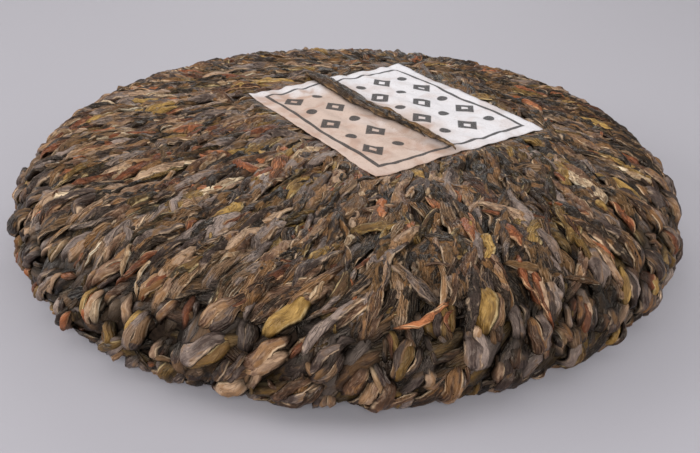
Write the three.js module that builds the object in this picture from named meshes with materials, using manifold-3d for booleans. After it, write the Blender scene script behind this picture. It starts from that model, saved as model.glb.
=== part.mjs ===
// A round cake of braided pu-erh tea: steamed bundles of long leaves, laid out like spokes, twisted, folded
// over the rim and pressed. A square paper ticket is pressed into the top, held down by one long strand.
// Millimetres, +Z up. The origin is under the cake's centre, on the surface that the cake lies on.
import * as THREE from "three";
import { mergeVertices } from "three/addons/utils/BufferGeometryUtils.js";
import Module from "manifold-3d";

// The cake's outer form.
const CAKE_RADIUS = 105;
const CAKE_HEIGHT = 26.4;
const SHOULDER_REACH = 25; // how far in from the rim the top starts to fall
const WAIST_HEIGHT = 8.5; // height of the widest line
const FOOT_REACH = 8.7; // how far in from the widest line the underside starts
const RIM_RELIEF = 2.4; // how far the bundles stand out at the rim
const TURN_RELIEF = 1.6; // at the turn into the top and the underside
const FLAT_RELIEF = 1.1; // and on the pressed top and underside
const CREVICE = 3; // depth of the core under the crests at the rim
const RIM_STATIONS = [93, 103, 112, 120]; // where the core's outline turns round the rim
const HUB_RADIUS = 13; // the flat knot in the middle of the underside, where the bundles meet
const CORE_SIDES = 36;

// Rows of bundles. station is the row's distance from the middle of the top, measured over the surface.
// slant is the bundle's lean from the horizontal, in degrees: 90 points at the cake's centre.
const ROWS = [
  { station: 24, count: 9, slant: 88, spread: 14, length: 26, width: 8.5, relief: FLAT_RELIEF },
  { station: 44, count: 17, slant: 86, spread: 14, length: 28, width: 8.8, relief: FLAT_RELIEF },
  { station: 64, count: 24, slant: 82, spread: 14, length: 27, width: 9, relief: FLAT_RELIEF },
  { station: 82, count: 30, slant: 72, spread: 14, length: 24, width: 9, relief: TURN_RELIEF },
  { station: 97, count: 38, slant: 46, spread: 16, length: 17, width: 8.6, relief: RIM_RELIEF },
  { station: 106.5, count: 40, slant: 38, spread: 16, length: 16, width: 8.6, relief: RIM_RELIEF },
  { station: 116, count: 40, slant: 44, spread: 16, length: 16, width: 8.6, relief: RIM_RELIEF },
  { station: 126, count: 30, slant: 62, spread: 12, length: 17, width: 9, relief: TURN_RELIEF },
  { station: 150, count: 18, slant: 84, spread: 12, length: 28, width: 9.5, relief: FLAT_RELIEF },
  { station: 177, count: 10, slant: 88, spread: 12, length: 27, width: 9.5, relief: FLAT_RELIEF },
];
const SEED = 7569;
const STATION_SHIFT = 1.6; // the largest random move of a bundle over the surface
const TURN_SHIFT = 0.22; // and round the cake, as a share of its row's spacing
const LENGTH_SPREAD = 0.16;
const WIDTH_SPREAD = 0.14;
const RELIEF_SPREAD = 0.2;

// A bundle's section, as shares of half its width and of its relief, and the rings along its length. The
// bundle is deeper than it stands out, so that it roots in the core, and its two ends dip under the others.
const BUNDLE_SECTION = [
  [0.5, 1],
  [1, -1.2],
  [-1, -1.2],
  [-0.5, 1],
];
const FLAT_RINGS = [
  { at: -0.22, full: 1, sunk: 0 },
  { at: 0.22, full: 1, sunk: 0 },
];
const PLUMP_RINGS = [
  { at: -0.28, full: 0.82, sunk: 0.4 },
  { at: 0, full: 1, sunk: 0 },
  { at: 0.28, full: 0.82, sunk: 0.4 },
];
const TIP_SUNK = 1.6;
const NARROWEST = 12; // the least radius that a bundle's turn round the cake is worked out at

// The paper ticket, and the strand across it. Their long sides run the same way.
const GAP = 0.3; // the room between pieces that touch
const TICKET_LENGTH = 78.5;
const TICKET_WIDTH = 67.8;
const TICKET_THICKNESS = 0.4;
const TICKET_CENTRE = new THREE.Vector2(14, 15.3);
const TICKET_TURN = THREE.MathUtils.degToRad(-55.8);
const TICKET_WAVE = 0.28; // how far its slow waves rise and fall
const RIPPLE_LONG = 39; // from crest to crest of the waves, along and across, and of a lower slanting wave
const RIPPLE_WIDE = 48;
const RIPPLE_SLANT = new THREE.Vector2(90, 30);
const RIPPLE_PHASE = 0.13;
const LOWER = 0.5; // height of the slanting wave, as a share of the other's
const TICKET_FRAY = 0.25; // how unevenly its edges are torn
const TICKET_CELLS_LONG = 13;
const TICKET_CELLS_WIDE = 11;
const SEAT_DEPTH = 0.1; // the leaves are pressed flat under the ticket, this far into the core
const SEAT_MARGIN = 1;
const SEAT_Z = CAKE_HEIGHT - FLAT_RELIEF - SEAT_DEPTH;
const STRAND_START = new THREE.Vector2(-44.3, -5.3); // along and across the ticket, from its centre
const STRAND_END = new THREE.Vector2(35.8, -3.2);
const STRAND_WIDTHS = [3.4, 5.3, 6.2, 7.4, 6.9, 6, 4.6, 2.9, 1.6]; // at even steps from start to end
const STRAND_THICKNESS = 2.2;
const STRAND_SWAY = 0.7; // how far it bends to each side, and how many bends it has
const STRAND_BENDS = 3;
const STRAND_TIP = 0.2; // height of its two tips, as a share of its thickness
const STRAND_RINGS = 17;
const STRAND_RAMP = 6; // length over which it climbs from the paper on to the leaves
const STRAND_SECTION = [
  [-0.72, 0.72],
  [0, 1],
  [0.72, 0.72],
  [1, 0],
  [-1, 0],
];

const wasm = await Module();
wasm.setup();

// A repeatable stream of numbers from 0 to 1.
function seeded(seed) {
  let state = seed;
  return () => {
    state = (state + 0x6d2b79f5) | 0;
    let mixed = Math.imul(state ^ (state >>> 15), 1 | state);
    mixed = (mixed + Math.imul(mixed ^ (mixed >>> 7), 61 | mixed)) ^ mixed;
    return ((mixed ^ (mixed >>> 14)) >>> 0) / 2 ** 32;
  };
}

// Half of the cake's profile, from the middle of the top over the rim to the middle of the underside.
function profilePath() {
  const shoulder = CAKE_RADIUS - SHOULDER_REACH;
  const foot = CAKE_RADIUS - FOOT_REACH;
  const path = new THREE.Path();
  path.moveTo(0, CAKE_HEIGHT);
  path.lineTo(shoulder, CAKE_HEIGHT);
  path.absellipse(shoulder, WAIST_HEIGHT, SHOULDER_REACH, CAKE_HEIGHT - WAIST_HEIGHT, Math.PI / 2, 0, true);
  path.absellipse(foot, WAIST_HEIGHT, FOOT_REACH, WAIST_HEIGHT, 0, -Math.PI / 2, true);
  path.lineTo(0, 0);
  return path;
}

const PROFILE = profilePath();
const PROFILE_LENGTH = PROFILE.getLength();

// The place of a station along the profile, as a share of its length.
function profileShare(station) {
  return THREE.MathUtils.clamp(station / PROFILE_LENGTH, 0, 1);
}

// The point of the cake's skin at a station and an angle, lifted along the skin's outward normal.
function skinPoint(station, angle, lift) {
  const at = PROFILE.getPointAt(profileShare(station));
  const along = PROFILE.getTangentAt(profileShare(station));
  const radius = at.x - along.y * lift;
  return new THREE.Vector3(radius * Math.cos(angle), radius * Math.sin(angle), at.y + along.x * lift);
}

// A closed mesh from rings of points, with a tip at each end.
function ringed(first, rings, last) {
  const sides = rings[0].length;
  const points = [first, ...rings.flat(), last];
  const end = rings.length - 1;
  const index = [];
  const at = (ring, side) => 1 + ring * sides + (side % sides);
  for (let side = 0; side < sides; side += 1) {
    index.push(0, at(0, side), at(0, side + 1));
    for (let ring = 0; ring < end; ring += 1) {
      index.push(at(ring, side), at(ring + 1, side), at(ring, side + 1));
      index.push(at(ring, side + 1), at(ring + 1, side), at(ring + 1, side + 1));
    }
    index.push(points.length - 1, at(end, side + 1), at(end, side));
  }
  const geometry = new THREE.BufferGeometry().setFromPoints(points);
  geometry.setIndex(index);
  return geometry;
}

// A manifold-3d solid from a closed geometry.
function solidOf(geometry) {
  const bare = new THREE.BufferGeometry().setAttribute("position", geometry.getAttribute("position"));
  bare.setIndex(geometry.index);
  const merged = mergeVertices(bare);
  const mesh = new wasm.Mesh({
    numProp: 3,
    vertProperties: new Float32Array(merged.attributes.position.array),
    triVerts: new Uint32Array(merged.index.array),
  });
  return new wasm.Manifold(mesh);
}

// A three.js geometry from a manifold-3d solid.
function geometryOf(solid) {
  const mesh = solid.getMesh();
  const geometry = new THREE.BufferGeometry();
  geometry.setAttribute("position", new THREE.BufferAttribute(mesh.vertProperties, 3));
  geometry.setIndex(new THREE.BufferAttribute(mesh.triVerts, 1));
  return geometry;
}

// The largest body of a solid: a loose scrap is dropped, and a sealed hollow filled.
function largestBody(solid) {
  return solid.decompose().reduce((best, body) => (body.volume() > best.volume() ? body : best));
}

// Where each bundle of every row lies, and its size.
function bundlePlan() {
  const draw = seeded(SEED);
  const swing = (share) => share * (2 * draw() - 1);
  const plan = [];
  for (const row of ROWS) {
    const shift = draw();
    for (let number = 0; number < row.count; number += 1) {
      plan.push({
        angle: ((number + shift + swing(TURN_SHIFT)) / row.count) * 2 * Math.PI,
        station: row.station + swing(STATION_SHIFT),
        slant: THREE.MathUtils.degToRad(row.slant + swing(row.spread)),
        length: row.length * (1 + swing(LENGTH_SPREAD)),
        width: row.width * (1 + swing(WIDTH_SPREAD)),
        relief: row.relief * (1 + swing(RELIEF_SPREAD)),
        rings: row.relief === RIM_RELIEF ? PLUMP_RINGS : FLAT_RINGS,
      });
    }
  }
  return plan;
}

// One bundle of leaves: a faceted lock that follows the cake's skin, its crest level with the skin.
function bundle({ angle, station, slant, length, width, relief, rings }) {
  const place = (along, out, lift) => {
    const here = station - along * Math.sin(slant) - out * Math.cos(slant);
    const round = along * Math.cos(slant) - out * Math.sin(slant);
    const radius = Math.max(PROFILE.getPointAt(profileShare(here)).x, NARROWEST);
    return skinPoint(here, angle + round / radius, lift);
  };
  const ring = ({ at, full, sunk }) => {
    const side = (full * width) / 2;
    return BUNDLE_SECTION.map(([out, up]) => place(at * length, out * side, (up - 1 - sunk) * relief));
  };
  const tip = (end) => place((end * length) / 2, 0, -TIP_SUNK * relief);
  return ringed(tip(-1), rings.map(ring), tip(1));
}

// The solid middle of the cake, as deep under its skin as the crevices between the bundles reach.
function core() {
  const top = CAKE_HEIGHT - FLAT_RELIEF;
  const rim = RIM_STATIONS.map((station) => skinPoint(station, 0, -CREVICE));
  const outline = [
    new THREE.Vector2(0, 0),
    new THREE.Vector2(HUB_RADIUS, 0),
    new THREE.Vector2(HUB_RADIUS + FLAT_RELIEF, FLAT_RELIEF),
    new THREE.Vector2(CAKE_RADIUS - FOOT_REACH - FLAT_RELIEF, FLAT_RELIEF),
    ...rim.reverse().map((point) => new THREE.Vector2(point.x, point.z)),
    new THREE.Vector2(CAKE_RADIUS - SHOULDER_REACH, top),
    new THREE.Vector2(0, top),
  ];
  return new THREE.LatheGeometry(outline, CORE_SIDES).rotateX(Math.PI / 2);
}

// The room over the flat patch that the ticket lies on.
function seatRoom() {
  const long = TICKET_LENGTH + 2 * SEAT_MARGIN;
  const wide = TICKET_WIDTH + 2 * SEAT_MARGIN;
  const room = new THREE.BoxGeometry(long, wide, CAKE_HEIGHT).translate(0, 0, CAKE_HEIGHT / 2);
  return room.rotateZ(TICKET_TURN).translate(TICKET_CENTRE.x, TICKET_CENTRE.y, SEAT_Z);
}

// The cake: its core with every bundle joined on, pressed flat under the ticket.
function cakeGeometry() {
  const bundles = bundlePlan().map((piece) => solidOf(bundle(piece)));
  const joined = wasm.Manifold.union([solidOf(core()), ...bundles]);
  return geometryOf(largestBody(joined.subtract(solidOf(seatRoom()))));
}

// The point of the cake at a place along and across the ticket, from its centre, and a height.
function fromTicket(along, across, height) {
  const turned = new THREE.Vector2(along, across).rotateAround(new THREE.Vector2(), TICKET_TURN);
  const flat = turned.add(TICKET_CENTRE);
  return new THREE.Vector3(flat.x, flat.y, height);
}

// The height of the ticket's lower face: the paper follows the pressed leaves in slow waves.
function ticketHeight(along, across) {
  const turn = 2 * Math.PI;
  const longwise = Math.sin(turn * (along / RIPPLE_LONG + RIPPLE_PHASE));
  const ripple = longwise * Math.cos((turn * across) / RIPPLE_WIDE);
  const slanting = Math.sin(turn * (along / RIPPLE_SLANT.x + across / RIPPLE_SLANT.y));
  return SEAT_Z + GAP + TICKET_WAVE * (1 + LOWER + ripple + LOWER * slanting);
}

// The ticket: a thin wavy sheet with slightly uneven edges. Both of its faces are split alike.
function ticketGeometry() {
  const corners = [];
  for (const lift of [0, TICKET_THICKNESS]) {
    for (let i = 0; i <= TICKET_CELLS_LONG; i += 1) {
      for (let j = 0; j <= TICKET_CELLS_WIDE; j += 1) {
        const across = (j / TICKET_CELLS_WIDE - 0.5) * (TICKET_WIDTH + TICKET_FRAY * Math.sin(2.3 * i));
        const along = (i / TICKET_CELLS_LONG - 0.5) * (TICKET_LENGTH + TICKET_FRAY * Math.sin(1.9 * j + 1));
        corners.push(fromTicket(along, across, ticketHeight(along, across) + lift));
      }
    }
  }
  const columns = TICKET_CELLS_WIDE + 1;
  const upper = columns * (TICKET_CELLS_LONG + 1);
  const index = [];
  for (let i = 0; i < TICKET_CELLS_LONG; i += 1) {
    for (let j = 0; j < TICKET_CELLS_WIDE; j += 1) {
      const a = i * columns + j;
      const [b, c, d] = [a + columns, a + columns + 1, a + 1];
      index.push(a, c, b, a, d, c, a + upper, b + upper, c + upper, a + upper, c + upper, d + upper);
    }
  }
  const edge = (from, to) => index.push(from, to, to + upper, from, to + upper, from + upper);
  for (let i = 0; i < TICKET_CELLS_LONG; i += 1) {
    edge(i * columns, (i + 1) * columns);
    edge((i + 2) * columns - 1, (i + 1) * columns - 1);
  }
  const lastRow = TICKET_CELLS_LONG * columns;
  for (let j = 0; j < TICKET_CELLS_WIDE; j += 1) {
    edge(j + 1, j);
    edge(lastRow + j, lastRow + j + 1);
  }
  const geometry = new THREE.BufferGeometry().setFromPoints(corners);
  geometry.setIndex(index);
  return geometry;
}

// The height of the strand's underside: on the paper, and then up on to the leaves beyond its edge.
function strandHeight(along, across) {
  const paper = ticketHeight(along, across) + TICKET_THICKNESS;
  const edge = TICKET_LENGTH / 2;
  const beyond = THREE.MathUtils.smoothstep(Math.abs(along), edge - STRAND_RAMP, edge - SEAT_MARGIN);
  return THREE.MathUtils.lerp(paper, Math.max(paper, CAKE_HEIGHT), beyond) + GAP;
}

// The strand: one twisted bundle of leaves that tapers to a thin tip near the ticket's far edge.
function strandGeometry() {
  const widths = new THREE.SplineCurve(STRAND_WIDTHS.map((width, step) => new THREE.Vector2(step, width)));
  const rings = [];
  const place = (share, out, up) => {
    const middle = STRAND_START.clone().lerp(STRAND_END, share);
    const width = widths.getPoint(share).y;
    const sway = STRAND_SWAY * Math.sin(share * STRAND_BENDS * Math.PI);
    const across = middle.y + sway + (out * width) / 2;
    const thickness = Math.min(STRAND_THICKNESS, width / 2);
    return fromTicket(middle.x, across, strandHeight(middle.x, across) + up * thickness);
  };
  for (let ring = 1; ring <= STRAND_RINGS; ring += 1) {
    const share = ring / (STRAND_RINGS + 1);
    rings.push(STRAND_SECTION.map(([out, up]) => place(share, out, up)));
  }
  return ringed(place(0, 0, STRAND_TIP), rings, place(1, 0, STRAND_TIP));
}

// A named mesh with its own material.
function meshOf(name, geometry, color, roughness) {
  const smooth = geometry.toNonIndexed();
  smooth.computeVertexNormals();
  const mesh = new THREE.Mesh(smooth, new THREE.MeshStandardMaterial({ color, roughness, metalness: 0 }));
  mesh.name = name;
  return mesh;
}

const teaCake = new THREE.Group();
teaCake.add(meshOf("tea_cake", cakeGeometry(), 0x5a4a3d, 0.6));
teaCake.add(meshOf("paper_ticket", ticketGeometry(), 0xd3c5bb, 0.95));
teaCake.add(meshOf("pressed_strand", strandGeometry(), 0x453526, 0.65));
export default teaCake;
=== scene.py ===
"""A round cake of braided pu-erh tea with a paper ticket pressed into its top.

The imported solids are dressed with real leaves: plump locks folded over the rim, flat leaves that radiate
over the top, thin stems and buds, a fibrous paper ticket and the strand that holds it down. Sizes are in
millimetres and angles in radians until a mesh is made. A place on the cake is a station, measured over its
skin from the middle of the top, and an angle round it. A leaf is made in the flat space of its bundle, along
it, out to its side and up from the skin, and then bent over the cake.
"""
import logging
import math
from dataclasses import dataclass, field, fields
from enum import Enum
from typing import Callable, Self

import bpy
import numpy as np
from mathutils import Matrix, Vector


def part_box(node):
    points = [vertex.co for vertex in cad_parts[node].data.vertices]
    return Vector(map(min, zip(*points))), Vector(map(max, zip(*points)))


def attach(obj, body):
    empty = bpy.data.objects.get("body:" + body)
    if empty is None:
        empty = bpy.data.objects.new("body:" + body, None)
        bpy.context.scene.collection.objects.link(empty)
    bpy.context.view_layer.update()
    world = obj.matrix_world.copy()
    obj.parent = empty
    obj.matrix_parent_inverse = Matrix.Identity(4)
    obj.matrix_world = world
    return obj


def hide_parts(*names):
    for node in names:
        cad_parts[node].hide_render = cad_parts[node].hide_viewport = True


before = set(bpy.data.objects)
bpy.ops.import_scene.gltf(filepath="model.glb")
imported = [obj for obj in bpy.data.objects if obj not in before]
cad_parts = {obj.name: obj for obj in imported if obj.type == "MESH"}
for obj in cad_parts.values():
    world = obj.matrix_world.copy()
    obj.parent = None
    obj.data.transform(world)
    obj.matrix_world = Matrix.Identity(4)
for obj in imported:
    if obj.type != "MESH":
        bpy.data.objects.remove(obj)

Array = np.ndarray
Range = tuple[float, float]
Colour = tuple[float, float, float]
Draws = np.random.Generator
Piece = bpy.types.Object
Socket = bpy.types.NodeSocket
Value = Socket | float | tuple[float, ...]

LOG = logging.getLogger("tea_cake")
MM = 0.001
SEED = 7569
# Stands in a kind of leaf for a size that is worked out leaf by leaf.
GIVEN: Range = (1.0, 1.0)
# Steps down and round that spread any number of places evenly.
EVEN_STEPS: Range = (0.7548776662466927, 0.5698402909980532)


class Tone(Enum):
    """The colours that the leaves of this cake come in."""

    DARK = 0
    BROWN = 1
    OLIVE = 2
    RUST = 3
    PALE = 4


class Zone(Enum):
    """The parts of the cake that have leaves of their own pieces."""

    TOP = "top"
    RIM = "rim"
    UNDER = "underside"


def linear(red: int, green: int, blue: int) -> Colour:
    """A display colour of 0 to 255 as the linear colour that a shader takes."""
    shares = (channel / 255 for channel in (red, green, blue))
    return tuple(((share + 0.055) / 1.055) ** 2.4 if share > 0.04045 else share / 12.92 for share in shares)


def random_stream(seed: int) -> Callable[[], float]:
    """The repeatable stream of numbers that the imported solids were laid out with.

    Args:
        seed: the number that it starts from.

    Returns:
        A function that gives the next number, from 0 to 1.
    """
    mask = 0xFFFFFFFF
    state = [seed]

    def draw() -> float:
        """Draws from the stream.

        Returns:
            The next number, from 0 to 1.
        """
        state[0] = (state[0] + 0x6D2B79F5) & mask
        mixed = ((state[0] ^ (state[0] >> 15)) * (1 | state[0])) & mask
        mixed = ((mixed + (((mixed ^ (mixed >> 7)) * (61 | mixed)) & mask)) & mask) ^ mixed
        return (mixed ^ (mixed >> 14)) / 2**32

    return draw


def smooth_step(low: float, high: float, value: Array) -> Array:
    """A smooth rise from 0 at low to 1 at high."""
    share = np.clip((value - low) / (high - low), 0, 1)
    return share * share * (3 - 2 * share)


@dataclass
class CakeSkin:
    """The smooth form that the crests of the bundles reach: a flat top, a round rim and a flat underside."""

    radius: float
    height: float
    shoulder_reach: float = 25.0
    waist_height: float = 8.5
    foot_reach: float = 8.7
    least_radius: float = 12.0
    stations: Array = field(init=False)
    outline: Array = field(init=False)
    normals: Array = field(init=False)

    def __post_init__(self) -> None:
        """Measures the profile, so that a place can be looked up by its station."""
        turn = np.linspace(0, math.pi / 2, 200)
        shoulder = self.radius - self.shoulder_reach
        rise = self.height - self.waist_height
        upper = np.stack(
            [shoulder + self.shoulder_reach * np.sin(turn), self.waist_height + rise * np.cos(turn)], 1
        )
        foot = self.radius - self.foot_reach
        lower = np.stack(
            [foot + self.foot_reach * np.cos(turn), self.waist_height * (1 - np.sin(turn))], 1
        )
        outline = np.vstack([[[0, self.height]], upper, lower[1:], [[0, 0]]])
        reach = np.concatenate([[0], np.cumsum(np.linalg.norm(np.diff(outline, axis=0), axis=1))])
        self.stations = np.linspace(0, reach[-1], 1500)
        self.outline = np.stack([np.interp(self.stations, reach, outline[:, axis]) for axis in (0, 1)], 1)
        run = np.gradient(self.outline, self.stations, axis=0)
        run /= np.linalg.norm(run, axis=1, keepdims=True)
        self.normals = np.stack([-run[:, 1], run[:, 0]], 1)

    @property
    def reach(self) -> float:
        """The length of the profile, from the middle of the top to the middle of the underside."""
        return float(self.stations[-1])

    def radius_at(self, station: Array) -> Array:
        """The distance from the cake's axis at each station."""
        return np.interp(station, self.stations, self.outline[:, 0])

    def points(self, station: Array, angle: Array, lift: Array) -> Array:
        """The points over the skin.

        Args:
            station: distance over the skin from the middle of the top.
            angle: direction round the cake.
            lift: height over the skin.

        Returns:
            An array with one more axis, for X, Y and Z.
        """
        radius = self.radius_at(station) + lift * np.interp(station, self.stations, self.normals[:, 0])
        height = np.interp(station, self.stations, self.outline[:, 1])
        height = height + lift * np.interp(station, self.stations, self.normals[:, 1])
        return np.stack([radius * np.cos(angle), radius * np.sin(angle), height], -1)

    def bend(self, angle: Array, station: Array, slant: Array, local: Array) -> Array:
        """Bends points from the flat space of their bundle over the cake.

        Args:
            angle: of the bundle's middle round the cake.
            station: of the bundle's middle.
            slant: of the bundle from the level; a quarter turn points at the cake's middle.
            local: points along, out and up, in the last axis.

        Returns:
            The points' X, Y and Z.
        """
        along, out, up = local[..., 0], local[..., 1], local[..., 2]
        here = station - along * np.sin(slant) - out * np.cos(slant)
        around = along * np.cos(slant) - out * np.sin(slant)
        radius = np.maximum(self.radius_at(here), self.least_radius)
        return self.points(here, angle + around / radius, up)


@dataclass
class Places:
    """Where bundles or leaves lie: one value each for the angle, the station and the slant."""

    angle: Array
    station: Array
    slant: Array

    def __len__(self) -> int:
        """The number of places."""
        return len(self.angle)

    def repeated(self, times: int) -> "Places":
        """Each place several times over."""
        return Places(*(np.repeat(getattr(self, f.name), times) for f in fields(Places)))

    def kept(self, mask: Array) -> Self:
        """The places where the mask is true."""
        return type(self)(*(getattr(self, f.name)[mask] for f in fields(self)))


@dataclass
class Bundles(Places):
    """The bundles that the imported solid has, with their sizes."""

    length: Array
    width: Array
    relief: Array


@dataclass(frozen=True)
class BundleRow:
    """One row of bundles round the cake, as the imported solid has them."""

    station: float
    count: int
    slant: float
    spread: float
    length: float
    width: float
    relief: float


@dataclass(frozen=True)
class BundlePlan:
    """The layout of the bundles of leaves, row by row from the middle of the top to that of the underside."""

    rim_relief: float = 2.4
    turn_relief: float = 1.6
    flat_relief: float = 1.1
    station_shift: float = 1.6
    turn_shift: float = 0.22
    length_spread: float = 0.16
    width_spread: float = 0.14
    relief_spread: float = 0.2

    def rows(self) -> list[BundleRow]:
        """Lists the rows.

        Returns:
            Each row's station, count, slant, spread, length, width and relief.
        """
        return [
            BundleRow(24, 9, 88, 14, 26, 8.5, self.flat_relief),
            BundleRow(44, 17, 86, 14, 28, 8.8, self.flat_relief),
            BundleRow(64, 24, 82, 14, 27, 9, self.flat_relief),
            BundleRow(82, 30, 72, 14, 24, 9, self.turn_relief),
            BundleRow(97, 38, 46, 16, 17, 8.6, self.rim_relief),
            BundleRow(106.5, 40, 38, 16, 16, 8.6, self.rim_relief),
            BundleRow(116, 40, 44, 16, 16, 8.6, self.rim_relief),
            BundleRow(126, 30, 62, 12, 17, 9, self.turn_relief),
            BundleRow(150, 18, 84, 12, 28, 9.5, self.flat_relief),
            BundleRow(177, 10, 88, 12, 27, 9.5, self.flat_relief),
        ]

    def bundles(self) -> Bundles:
        """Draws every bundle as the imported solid's were.

        Returns:
            The bundles, row by row.
        """
        draw = random_stream(SEED)

        def swing(share: float) -> float:
            """A random value between minus and plus the share."""
            return share * (2 * draw() - 1)

        found = []
        for row in self.rows():
            shift = draw()
            for number in range(row.count):
                angle = (number + shift + swing(self.turn_shift)) / row.count * math.tau
                station = row.station + swing(self.station_shift)
                slant = math.radians(row.slant + swing(row.spread))
                length = row.length * (1 + swing(self.length_spread))
                width = row.width * (1 + swing(self.width_spread))
                relief = row.relief * (1 + swing(self.relief_spread))
                found.append((angle, station, slant, length, width, relief))
        return Bundles(*np.array(found).T)


@dataclass(frozen=True)
class LeafKind:
    """One kind of leaf or stem. A range gives the least and the most that its strips are drawn between."""

    length: Range
    width: Range
    thick: Range
    lift: Range
    tones: tuple[float, ...]
    dip: Range = (0.3, 0.9)
    out: Range = (0.0, 0.0)
    along: Range = (0.0, 0.0)
    stray: Range = (-0.6, 0.6)
    bow: Range = (-1.2, 1.2)
    wave: Range = (0.0, 0.25)
    roll: Range = (-0.2, 0.2)
    twist: Range = (-0.3, 0.3)
    curl: Range = (-0.1, 0.3)
    ridge: Range = (0.08, 0.2)
    crumple: Range = (0.05, 0.16)
    fold: Range = (-0.15, 0.25)
    crown: Range = (0.0, 0.0)
    crown_half: float = 5.0
    point: Range = (2.0, 5.0)
    tail: Range = (2.0, 5.0)
    blunt: Range = (0.45, 0.85)
    rows: int = 12
    tops: int = 7


@dataclass(frozen=True)
class LeafForm:
    """What shapes and shades a leaf of any kind. Depths and pitches are in millimetres."""

    tip: float = 0.985
    least_half: float = 0.14
    least_thick: float = 0.35
    uneven: tuple[Range, Range] = ((0.12, 3.1), (0.08, 8.3))
    sway: Range = (0.06, 5.2)
    pull_in: float = 0.45
    bow_middle: float = 0.33
    droop: float = 2.6
    most_lean: float = 0.95
    lower_side: float = 0.62
    lower_depth: float = 0.75
    groove_pitch: Range = (1.5, 2.4)
    groove_wander: float = 2.3
    groove_fade: float = 0.6
    ripple_pitch: Range = (2.2, 5.5)
    ripples: int = 3
    grain: float = 0.05
    darker_right: float = 0.16
    darker_back: float = 0.2
    darker_until: Range = (80, 96)
    # The depth under the crests over which the height that the painted crevice shade follows runs from 1 to
    # 0.
    crest_depth: float = 2.8
    layout_reach: float = 40

    def ring(self, tops: int) -> tuple[Array, Array, Array]:
        """Goes once round a leaf, over its top and back below.

        Args:
            tops: the number of points over the top.

        Returns:
            The place across, the height and whether it is on top, for each point.
        """
        top = np.linspace(-1, 1, tops)
        across = np.concatenate([top, [self.lower_side, -self.lower_side]])
        tall = np.concatenate([np.sqrt(np.clip(1 - top**2, 0, 1)), [-self.lower_depth, -self.lower_depth]])
        return across[None, None, :], tall[None, None, :], np.concatenate([np.ones(tops), [0, 0]])

    def darkness(self, places: Places) -> Array:
        """How much darker each leaf is for lying on the right or at the back of the top.

        Args:
            places: where the leaves lie.

        Returns:
            What their own number goes down by.
        """
        right, back = (np.clip(side(places.angle), 0, 1) for side in (np.cos, np.sin))
        darker = self.darker_right * right + self.darker_back * back
        return darker * (1 - smooth_step(*self.darker_until, places.station))


FORM = LeafForm()


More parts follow.
